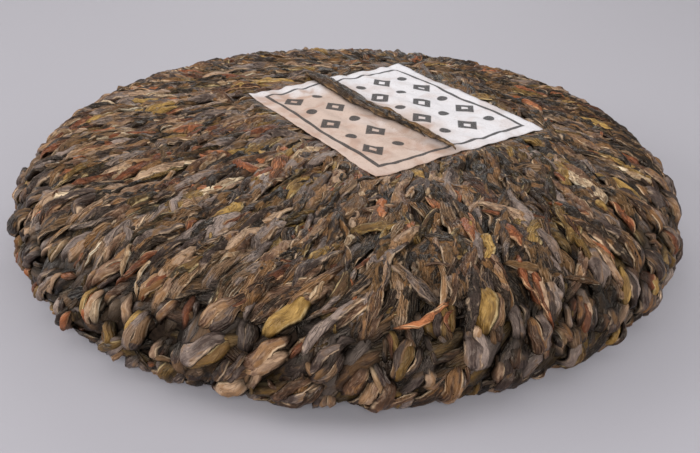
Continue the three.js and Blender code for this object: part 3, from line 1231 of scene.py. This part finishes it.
@dataclass
class Strand:
    """The twisted strand of leaves that lies across the ticket."""

    ticket: Ticket
    start: tuple[float, float] = (-44.3, -5.3)
    end: tuple[float, float] = (35.8, -3.2)
    sway: float = 0.7
    bends: int = 3

    def bend(self, places: Places, local: Array) -> Array:
        """Lays points from the strand's flat space on the ticket.

        Args:
            places: unused, as all of the strand lies in one place.
            local: points along, out and up, in the last axis.

        Returns:
            The points' X, Y and Z.
        """
        span = self.end[0] - self.start[0]
        share = local[..., 0] / span + 0.5
        middle = self.start[1] + (self.end[1] - self.start[1]) * share
        along = self.start[0] + span * share
        across = middle + self.sway * np.sin(share * self.bends * math.pi) + local[..., 1]
        paper = self.ticket.under(along, across) + 0.1 + self.ticket.thick
        edge = self.ticket.length / 2
        beyond = smooth_step(edge - 6, edge - 1, np.abs(along))
        base = paper + (np.maximum(paper, self.ticket.skin.height) - paper) * beyond
        return self.ticket.from_sheet(along, across, np.maximum(base + 0.15 + local[..., 2], base + 0.05))

    def build(self) -> Piece:
        """Makes the strand from several leaves twisted together.

        Returns:
            The new object.
        """
        rng = np.random.default_rng(SEED + 2)
        spots = [
            (-31, -1.3, 24, 3.6), (-27, 1.5, 26, 3.8), (-20, -1.8, 30, 3.6), (-15, 1.8, 28, 3.4),
            (-12, 0.2, 34, 4.0), (-2, -1.3, 30, 3.2), (3, 1.3, 30, 3.2), (8, 0.0, 34, 3.6),
            (15, -0.6, 28, 2.4), (25, 0.3, 30, 2.0), (33, 0.0, 19, 1.7), (-34, 0.2, 18, 3.4),
        ]
        along, out, length, width = np.array(spots).T
        places = Places(np.zeros(len(spots)), np.zeros(len(spots)), np.zeros(len(spots)))
        kind = LeafKind(
            GIVEN, GIVEN, (1.0, 1.4), (0.3, 0.7), (0.55, 0.3, 0.15, 0, 0), dip=(0.4, 0.8), stray=(-0.9, 0.9),
            bow=(-0.5, 0.5), crown=(0.5, 0.9), crown_half=3.6, rows=26, tops=9, twist=(-0.7, 0.7),
            ridge=(0.12, 0.24), curl=(0.1, 0.4),
        )
        strips = Strips(kind, places, rng).put(along=along, out=out, length=length, width=width)
        piece = mesh_object("pressed_strand_leaves", *joined([strips.surface(self.bend)]))
        return dress(piece, "pressed_strand", STRAND_FINISH.material(Zone.TOP))


@dataclass
class Core:
    """The uneven middle of the cake, which shows only as darkness between the bundles."""

    skin: CakeSkin
    depth: float = 2.9
    flat_depth: float = 2.0
    around: int = 120
    steps: int = 64
    rim_in: Range = (76, 92)
    rim_out: Range = (122, 136)
    uneven: float = 0.3

    def build(self) -> Piece:
        """Makes the core.

        Returns:
            The new object.
        """
        station = np.linspace(0.4, self.skin.reach - 0.4, self.steps)[None, :]
        angle = np.linspace(0, math.tau, self.around, endpoint=False)[:, None]
        rim = smooth_step(*self.rim_in, station) * (1 - smooth_step(*self.rim_out, station))
        lift = -(self.flat_depth + (self.depth - self.flat_depth) * rim)
        lift = lift + self.uneven * np.sin(23 * angle + station * 0.3) * np.sin(station * 0.7)
        points = self.skin.points(station + 0 * angle, angle + 0 * station, lift)
        number = np.arange(points[..., 0].size).reshape(points.shape[:2])
        after = np.roll(number, -1, axis=0)
        sides = np.stack([number[:, :-1], number[:, 1:], after[:, 1:], after[:, :-1]], -1).reshape(-1, 4)
        caps = [number[:, 0][None, :], number[::-1, -1][None, :]]
        points = points.reshape(-1, 3)
        blank = np.zeros((len(points), 4))
        piece = mesh_object("core", points, [sides, *caps], points[:, :2] / 10, blank)
        return dress(piece, "tea_cake", CoreFinish().material())


@dataclass
class LeafPile:
    """All the leaves of the cake, gathered by zone and tone as they are laid."""

    skin: CakeSkin
    ticket: Ticket
    surfaces: dict[Zone, list[Surface]] = field(default_factory=lambda: {zone: [] for zone in Zone})
    hidden_margin: float = 13.0

    def bend(self, places: Places, local: Array) -> Array:
        """Bends leaves over the cake and presses them under the ticket.

        Args:
            places: where each leaf lies.
            local: points along, out and up, in the last axis.

        Returns:
            The points' X, Y and Z.
        """
        angle, station, slant = (x[:, None, None] for x in (places.angle, places.station, places.slant))
        points = self.ticket.pressed(self.skin.bend(angle, station, slant, local))
        points[..., 2] = np.maximum(points[..., 2], 0.02)
        return points

    def lay(self, zone: Zone, strips: Strips, bend: Callable[[Places, Array], Array] | None = None) -> None:
        """Adds leaves to a zone, bent over the cake or as given."""
        self.surfaces[zone].append(strips.surface(bend or self.bend))

    def lay_layer(self, zone: Zone, layer: "Layer", scatter: "Scatter") -> None:
        """Adds a layer of scattered leaves to a zone, without those that the ticket hides.

        Args:
            zone: the zone.
            layer: the leaves and how they lie.
            scatter: spreads them and draws their sizes.
        """
        places = scatter.places(layer)
        if zone is Zone.TOP:
            places = places.kept(~self.hidden(places))
        self.lay(zone, Strips(layer.kind, places, scatter.rng))

    def hidden(self, places: Places) -> Array:
        """Finds the leaves that would lie wholly under the ticket.

        Args:
            places: where the leaves of the top lie.

        Returns:
            True for each hidden leaf.
        """
        middle = self.skin.points(places.station, places.angle, np.zeros(len(places)))
        along, across = self.ticket.on_sheet(middle[:, 0], middle[:, 1])
        inside = np.abs(along) < self.ticket.length / 2 - self.hidden_margin
        return inside & (np.abs(across) < self.ticket.width / 2 - self.hidden_margin)

    def build(self) -> list[Piece]:
        """Makes one piece for each tone of each zone.

        Returns:
            The pieces.
        """
        made = []
        for zone, surfaces in self.surfaces.items():
            finishes = {tone: finish.material(zone) for tone, finish in LEAF_FINISHES.items()}
            for tone in Tone:
                parts = [part for part in (s.only(tone.value) for s in surfaces) if len(part.points)]
                if not parts:
                    continue
                piece = mesh_object(f"{zone.value}_{tone.name.lower()}_leaves", *joined(parts))
                made.append(dress(piece, "tea_cake", finishes[tone]))
        return made


@dataclass(frozen=True)
class LeafLean:
    """How the leaves lean: towards one spot behind the top's middle, and over the rim in slanted locks."""

    skin: CakeSkin
    spot: tuple[float, float] = (30.0, 66.0)
    stations: tuple[float, ...] = (60, 74, 86, 97, 107, 116, 126, 140)
    degrees: tuple[float, ...] = (90, 88, 70, 46, 38, 42, 62, 84)
    steeper: float = 28.0
    level_angle: float = 262.0
    level_half: float = 18.0

    def off_middle(self, station: Array, angle: Array) -> Array:
        """How far a leaf of the top turns off the cake's middle towards the spot.

        Args:
            station: the leaf's station.
            angle: its angle round the cake.

        Returns:
            The turn in degrees.
        """
        radius = self.skin.radius_at(station)
        away = np.array(self.spot)[:, None] - radius * np.array([np.cos(angle), np.sin(angle)])
        inward = -away[0] * np.cos(angle) - away[1] * np.sin(angle)
        around = away[1] * np.cos(angle) - away[0] * np.sin(angle)
        turn = (np.degrees(np.arctan2(inward, around)) % 180) - 90
        return turn * (1 - smooth_step(76, 98, station))

    def off_row(self, station: Array, angle: Array) -> Array:
        """How much steeper the rim's locks lie than their row does at the front.

        Args:
            station: the lock's station.
            angle: its angle round the cake.

        Returns:
            The difference in degrees.
        """
        gap = (np.degrees(angle) - self.level_angle + 180) % 360 - 180
        share = 1 - 1.3 * np.exp(-((gap / self.level_half) ** 2))
        return self.steeper * share * smooth_step(78, 88, station) * (1 - smooth_step(108, 122, station))

    def degrees_at(self, station: Array, angle: Array) -> Array:
        """The lean of leaves at each place, in degrees."""
        row = np.interp(station, self.stations, self.degrees)
        return row + self.off_middle(station, angle) + self.off_row(station, angle)


@dataclass(frozen=True)
class Layer:
    """A layer of scattered leaves.

    It gives the least and the most station, how many times over the leaves cover the skin, a leaf's area,
    how far they turn off the bundles' lean, in degrees, the share that lies across, and their kind.
    """

    stations: Range
    cover: float
    size: float
    spread: float
    stray: float
    kind: LeafKind


@dataclass
class Scatter:
    """Spreads leaves evenly over a part of the skin, leaning as the bundles there lean."""

    skin: CakeSkin
    rng: Draws
    jitter: float = 1.8
    crossing: float = 70.0

    def places(self, layer: Layer) -> Places:
        """Even random places.

        Args:
            layer: the leaves and how they lie.

        Returns:
            The places.
        """
        line = np.linspace(*layer.stations, 400)
        band = self.skin.radius_at(line)
        steps = 0.5 * (band[1:] + band[:-1]) * np.diff(line)
        area = np.concatenate([[0], np.cumsum(steps)]) * math.tau
        count = max(1, round(layer.cover * area[-1] / layer.size))
        order = np.arange(count)
        down, turn = ((self.rng.random() + order * step) % 1 for step in EVEN_STEPS)
        station = np.interp(down * area[-1], area, line) + self.rng.normal(0, self.jitter, count)
        radius = np.maximum(self.skin.radius_at(station), self.skin.least_radius)
        angle = math.tau * turn + self.rng.normal(0, self.jitter, count) / radius
        slant = LeafLean(self.skin).degrees_at(station, angle)
        slant = slant + layer.spread * self.rng.normal(0, 1, count)
        crossing = self.rng.random(count) < layer.stray
        slant = np.where(crossing, slant + self.rng.uniform(-self.crossing, self.crossing, count), slant)
        return Places(angle, station, np.radians(slant))


@dataclass
class RimLocks:
    """The plump twisted locks where the bundles fold over the rim."""

    pile: LeafPile
    bundles: Bundles
    strip_shares: tuple[float, ...] = (0.06, 0.38, 0.4, 0.16)
    first_station: float = 88.0
    last_station: float = 130.0
    tones: tuple[float, ...] = (0.52, 0.335, 0.08, 0.05, 0.015)
    locks_round: int = 40
    shrunk: Range = (0.84, 0.86)
    drop: float = -0.3
    fillers: tuple[Range, ...] = ((0.36, 0.35), (0.68, 0.6))

    def between(self, locks: Bundles, shift: float, rng: Draws) -> Bundles:
        """The smaller locks that fill the gaps between the rows.

        Args:
            locks: the locks of the rows.
            shift: how far round they lie from those, as a share of a row's spacing.
            rng: draws their sizes.

        Returns:
            The smaller locks.
        """
        count = len(locks)
        around = math.tau / self.locks_round
        return Bundles(
            locks.angle + around * (shift + rng.uniform(-0.08, 0.08, count)),
            locks.station + rng.uniform(3.0, 6.5, count),
            locks.slant + rng.normal(0.15, 0.3, count),
            locks.length * rng.uniform(0.7, 1.0, count),
            locks.width * rng.uniform(0.7, 0.95, count),
            locks.relief * rng.uniform(0.55, 0.95, count),
        )

    def body(self, locks: Bundles, drop: float, rng: Draws) -> Strips:
        """One broad rolled leaf under each lock's strips.

        Args:
            locks: the locks.
            drop: how far below the skin they lie.
            rng: draws their sizes.

        Returns:
            The rolled leaves.
        """
        kind = LeafKind(
            GIVEN, GIVEN, (2.6, 3.4), (-2.9 - drop, -2.3 - drop), (0.45, 0.4, 0.15, 0, 0), dip=(1.4, 2.2),
            stray=(-0.5, 0.5), bow=(-0.6, 0.6), curl=(0.1, 0.3), ridge=(0.15, 0.3), rows=6, tops=5,
        )
        return Strips(kind, locks, rng).put(length=locks.length * 0.85, width=locks.width * 0.7)

    def wraps(self, locks: Bundles, drop: float, strips: int, rng: Draws) -> Strips:
        """The leaves that lie side by side round each lock.

        Args:
            locks: the locks that have this many leaves.
            drop: how far below the skin they lie.
            strips: the number of leaves on each.
            rng: draws their sizes.

        Returns:
            The leaves.
        """
        kind = LeafKind(
            GIVEN, GIVEN, (1.0, 1.7), (-4.1 - drop, -3.6 - drop), self.tones, dip=(1.8, 3.0),
            stray=(-0.4, 1.3), bow=(-0.6, 0.6), wave=(0, 0.15), curl=(0.1, 0.5), fold=(-0.2, 0.3),
            ridge=(0.08, 0.22), crumple=(0.06, 0.16), crown=GIVEN, along=(-1.0, 1.0), twist=(-0.2, 0.2),
            roll=(-0.12, 0.12),
            point=(2.6, 5), tail=(2.6, 5), blunt=(0.45, 0.65), rows=12, tops=8 if strips < 3 else 6,
        )
        places = locks.repeated(strips)
        length, width, relief = (np.repeat(x, strips) for x in (locks.length, locks.width, locks.relief))
        order = np.tile((np.arange(strips) + 0.5) / strips * 2 - 1, len(locks))
        order = order + rng.uniform(-0.15, 0.15, len(order))
        share = rng.uniform(0.85, 1.3, len(order)) / strips
        return Strips(kind, places, rng).put(
            length=length * rng.uniform(0.8, 1.0, len(order)) * np.sqrt(1 - 0.25 * order**2),
            width=width * np.minimum(share, 0.7),
            out=order * width * 0.34,
            crown_half=width * 0.48,
            crown=relief + 1.1 + rng.uniform(-0.5, 0.5, len(order)),
        )

    def lay(self) -> None:
        """Lays the locks and the looser leaves between them."""
        rng = np.random.default_rng(SEED + 3)
        mask = (self.bundles.station > self.first_station) & (self.bundles.station < self.last_station)
        locks = self.bundles.kept(mask)
        steeper = LeafLean(self.pile.skin).off_row(locks.station, locks.angle)
        locks.slant = locks.slant + np.radians(steeper)
        locks.length, locks.width = self.shrunk[0] * locks.length, self.shrunk[1] * locks.width
        groups = [(locks, self.drop)]
        groups += [(self.between(locks, shift, rng), drop) for shift, drop in self.fillers]
        for group, drop in groups:
            self.pile.lay(Zone.RIM, self.body(group, drop, rng))
            strips = rng.choice((1, 2, 3, 4), size=len(group), p=self.strip_shares)
            for number in (1, 2, 3, 4):
                self.pile.lay(Zone.RIM, self.wraps(group.kept(strips == number), drop, number, rng))
        scatter = Scatter(self.pile.skin, rng)
        under = LeafKind(
            (13, 21), (5.5, 8.5), (1.4, 2.0), (-2.9, -1.9), (0.42, 0.4, 0.18, 0, 0), dip=(0.3, 1.0),
            rows=6, tops=4,
        )
        bits = LeafKind(
            (4, 10), (1.4, 3.4), (0.7, 1.3), (-2.4, -0.9), self.tones, dip=(0.3, 1.3), bow=(-1.6, 1.6),
            twist=(-1.2, 1.2), curl=(0, 0.5), rows=9, tops=5,
        )
        self.pile.lay_layer(Zone.RIM, Layer((86, 134), 2.3, 76, 20, 0.1, under), scatter)
        self.pile.lay_layer(Zone.RIM, Layer((86, 124), 0.4, 20, 34, 0.3, bits), scatter)


@dataclass
class FlatLeaves:
    """The leaves of the pressed top, which run out from the middle like spokes."""

    pile: LeafPile
    tones: tuple[float, ...] = (0.43, 0.34, 0.12, 0.08, 0.03)

    def layers(self) -> list[Layer]:
        """Lists the layers from the lowest up.

        Returns:
            Broad flat leaves, the rolled leaves of the bundles, crumpled leaves pressed into the surface,
            narrow rolled leaves on them, and last wiry leaves, stems and buds as far as the rim's shoulder.
        """
        return [
            Layer((14, 93), 2.6, 135, 16, 0.08, LeafKind(
                (18, 27), (6.5, 9), (0.7, 1.0), (-2.3, -1.3), (0.6, 0.3, 0.08, 0.02, 0), dip=(0.1, 0.5),
                rows=6, tops=5)),
            Layer((16, 92), 1.2, 64, 9, 0.06, LeafKind(
                (15, 27), (3.4, 5.4), (1.7, 2.6), (-1.7, -0.6), self.tones, dip=(0.7, 1.6), bow=(-2, 2),
                curl=(-0.1, 0.4), fold=(-0.3, 0.5), twist=(-0.6, 0.6), ridge=(0.12, 0.3), crumple=(0.08, 0.2),
                rows=12, tops=7)),
            Layer((16, 92), 0.6, 60, 14, 0.08, LeafKind(
                (12, 23), (4.0, 6.2), (0.6, 1.0), (-0.95, 0.1), self.tones, dip=(0.6, 1.5), bow=(-1.6, 1.6),
                curl=(-0.3, 0.35), fold=(-0.35, 0.35), twist=(-0.3, 0.3), roll=(-0.22, 0.22),
                crumple=(0.08, 0.22), ridge=(0.1, 0.26), rows=12, tops=8)),
            Layer((16, 94), 0.85, 40, 12, 0.08, LeafKind(
                (11, 22), (2.6, 4.2), (1.3, 2.1), (-0.8, 0.1), self.tones, dip=(0.9, 1.9), bow=(-2.2, 2.2),
                curl=(0, 0.5), fold=(-0.4, 0.6), twist=(-1.2, 1.2), ridge=(0.12, 0.3), crumple=(0.08, 0.2),
                rows=13, tops=7)),
            Layer((16, 98), 0.22, 34, 18, 0.2, LeafKind(
                (11, 22), (1.5, 2.8), (1.0, 1.6), (-0.7, -0.1), (0.3, 0.3, 0.14, 0.16, 0.1), dip=(0.5, 1.3),
                bow=(-2.2, 2.2), twist=(-2.4, 2.4), wave=(0, 0.3), rows=14, tops=5, point=(3, 7),
                ridge=(0.05, 0.12))),
            Layer((16, 98), 0.08, 14, 22, 0.3, LeafKind(
                (5, 12), (0.9, 1.6), (0.8, 1.3), (-0.6, 0.0), (0.08, 0.2, 0.12, 0.4, 0.2), dip=(0.3, 1.0),
                bow=(-2.0, 2.0), twist=(-0.5, 0.5), rows=9, tops=4, point=(8, 14), blunt=(0.3, 0.5),
                ridge=(0, 0.05))),
            Layer((16, 98), 0.05, 16, 22, 0.3, LeafKind(
                (5, 11), (1.5, 2.6), (1.0, 1.6), (-0.6, 0.0), (0, 0.05, 0.25, 0.15, 0.55), dip=(0.4, 1.0),
                bow=(-1.2, 1.2), twist=(-0.8, 0.8), rows=11, tops=6, point=(1.8, 2.6), ridge=(0.04, 0.1))),
        ]

    def lay(self) -> None:
        """Lays the leaves layer by layer."""
        scatter = Scatter(self.pile.skin, np.random.default_rng(SEED + 4))
        for layer in self.layers():
            self.pile.lay_layer(Zone.TOP, layer, scatter)


@dataclass
class UnderLeaves:
    """The leaves of the underside, fewer than on the top, and the flat knot in its middle."""

    pile: LeafPile
    tones: tuple[float, ...] = (0.5, 0.3, 0.12, 0.05, 0.03)
    knot_radius: float = 9.5
    knot_leaves: int = 44
    open_middle: float = 14.0

    def across_middle(self, places: Places, local: Array) -> Array:
        """Lays the knot's leaves flat over the middle of the underside.

        Args:
            places: the angle round the cake, the distance from its axis and the turn of each leaf.
            local: points along, out and up, in the last axis.

        Returns:
            The points' X, Y and Z.
        """
        angle, away, turn = (x[:, None, None] for x in (places.angle, places.station, places.slant))
        along, out, up = local[..., 0], local[..., 1], local[..., 2]
        x = away * np.cos(angle) + along * np.cos(turn) + out * np.sin(turn)
        y = away * np.sin(angle) + along * np.sin(turn) - out * np.cos(turn)
        return np.stack([x, y, np.maximum(-up, 0.02)], -1)

    def lay(self) -> None:
        """Lays two layers of leaves between the foot of the rim and the middle, and the knot over them."""
        rng = np.random.default_rng(SEED + 5)
        scatter = Scatter(self.pile.skin, rng)
        last = self.pile.skin.reach - self.open_middle
        broad = LeafKind(
            (20, 28), (6, 9), (0.7, 1.1), (-1.9, -1.2), (0.6, 0.3, 0.1, 0, 0), dip=(0.1, 0.5), rows=8, tops=5
        )
        strips = LeafKind(
            (16, 27), (3.5, 6.5), (0.8, 1.3), (-1.0, -0.5), self.tones, dip=(0.3, 1.0), bow=(-1.5, 1.5),
            curl=(0, 0.3), rows=9, tops=6,
        )
        self.pile.lay_layer(Zone.UNDER, Layer((122, last), 1.25, 140, 10, 0.1, broad), scatter)
        self.pile.lay_layer(Zone.UNDER, Layer((120, last), 1.35, 92, 14, 0.1, strips), scatter)
        knot = LeafKind(
            (10, 17), (2.6, 4.4), (0.8, 1.2), (-1.2, -0.6), self.tones, dip=(0.2, 0.7), bow=(-1.5, 1.5),
            curl=(0, 0.3), rows=9, tops=6,
        )
        spots = Places(
            rng.uniform(0, math.tau, self.knot_leaves),
            self.knot_radius * np.sqrt(rng.random(self.knot_leaves)),
            rng.uniform(0, math.pi, self.knot_leaves),
        )
        self.pile.lay(Zone.UNDER, Strips(knot, spots, rng), self.across_middle)


@dataclass
class Studio:
    """The plain pale floor, the soft light and the camera at the photograph's view."""

    focal_px: float = 700.0
    width_px: float = 700.0
    distance: float = 242.36
    elevation: float = 0.493353702
    yaw: float = 0.00469922
    pitch: float = -0.0415562
    roll: float = -0.0187277
    sensor: float = 36.0
    lights: tuple[tuple[str, tuple[float, float, float], float, float], ...] = (
        ("overhead", (-0.1, 0.0, 1.3), 1.0, 3.26),
        ("overhead_left", (-0.7, 0.0, 1.0), 0.7, 1.9),
        ("overhead_right", (0.7, 0.0, 1.0), 0.7, 2.4),
        ("front", (0.0, -1.1, 0.75), 0.7, 14.57),
        ("back", (0.0, 1.2, 0.6), 0.7, 5.36),
        ("left", (-1.25, 0.0, 0.5), 0.7, 11.62),
        ("right", (1.25, 0.0, 0.5), 0.7, 3.58),
    )
    sky: float = 0.177
    floor_half: float = 4000.0
    floor_drop: float = 0.15

    def camera(self) -> Piece:
        """Places the camera.

        Returns:
            The new object.
        """
        back = np.array([0, -math.cos(self.elevation), math.sin(self.elevation)])
        forward, right = -back, np.array([1.0, 0, 0])
        up = np.cross(right, forward)
        side = math.cos(self.yaw) * right - math.sin(self.yaw) * forward
        ahead = math.sin(self.yaw) * right + math.cos(self.yaw) * forward
        high = math.cos(self.pitch) * up - math.sin(self.pitch) * ahead
        ahead = math.sin(self.pitch) * up + math.cos(self.pitch) * ahead
        across = math.cos(self.roll) * side - math.sin(self.roll) * high
        high = math.sin(self.roll) * side + math.cos(self.roll) * high
        data = bpy.data.cameras.new("camera")
        data.sensor_width = self.sensor
        data.lens = self.sensor * self.focal_px / self.width_px
        data.clip_start, data.clip_end = 0.01, 20.0
        camera = bpy.data.objects.new("camera", data)
        place = back * self.distance * MM
        rows = np.eye(4)
        rows[:3, :3] = np.stack([across, high, -ahead], 1)
        rows[:3, 3] = place
        camera.matrix_world = Matrix(rows.tolist())
        bpy.context.scene.collection.objects.link(camera)
        bpy.context.scene.camera = camera
        return camera

    def area_light(self, name: str, place: tuple[float, float, float], size: float, power: float) -> None:
        """Hangs a soft light that faces the cake.

        Args:
            name: the light's name.
            place: where it hangs, in metres.
            size: the side of its square, in metres.
            power: in watts.
        """
        data = bpy.data.lights.new(name, "AREA")
        data.size, data.energy = size, power
        light = bpy.data.objects.new(name, data)
        light.location = place
        aim = -np.array(place) / np.linalg.norm(place)
        flat = math.hypot(aim[0], aim[1])
        light.rotation_euler = (math.atan2(flat, -aim[2]), 0, math.atan2(-aim[0], aim[1]))
        bpy.context.scene.collection.objects.link(light)

    def floor(self) -> Piece:
        """Lays the plain floor.

        Returns:
            The new object.
        """
        n = Nodes("floor")
        material = n.finish(Base_Color=linear(161, 158, 164), Roughness=0.75, Specular_IOR_Level=0.3)
        side, low = self.floor_half, -self.floor_drop
        corners = np.array([[-side, -side, low], [side, -side, low], [side, side, low], [-side, side, low]])
        floor = mesh_object("floor", corners, [np.array([[0, 1, 2, 3]])], corners[:, :2], np.zeros((4, 4)))
        floor.data.materials.append(material)
        return floor

    def build(self) -> None:
        """Sets up the camera, the lights, the world and the floor."""
        self.camera()
        self.floor()
        for name, place, size, power in self.lights:
            self.area_light(name, place, size, power)
        world = bpy.data.worlds.new("soft_box")
        world.use_nodes = True
        shade = world.node_tree.nodes["Background"]
        shade.inputs["Color"].default_value = (1.0, 1.0, 1.0, 1.0)
        shade.inputs["Strength"].default_value = self.sky
        bpy.context.scene.world = world
        bpy.context.scene.view_settings.view_transform = "Standard"


def main() -> None:
    """Builds the studio, the ticket, the strand and all the leaves, and notes the sizes."""
    logging.basicConfig(level=logging.INFO, format="%(name)s %(message)s")
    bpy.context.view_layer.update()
    low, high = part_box("tea_cake")
    skin = CakeSkin(radius=(high.x - low.x) / 2 / MM, height=high.z / MM)
    low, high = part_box("paper_ticket")
    ticket = Ticket(skin, ((low.x + high.x) / 2 / MM, (low.y + high.y) / 2 / MM))
    bundles = BundlePlan().bundles()
    Studio().build()
    ticket.build()
    Strand(ticket).build()
    Core(skin).build()
    pile = LeafPile(skin, ticket)
    RimLocks(pile, bundles).lay()
    FlatLeaves(pile).lay()
    UnderLeaves(pile).lay()
    pile.build()


if __name__ == "__main__":
    main()
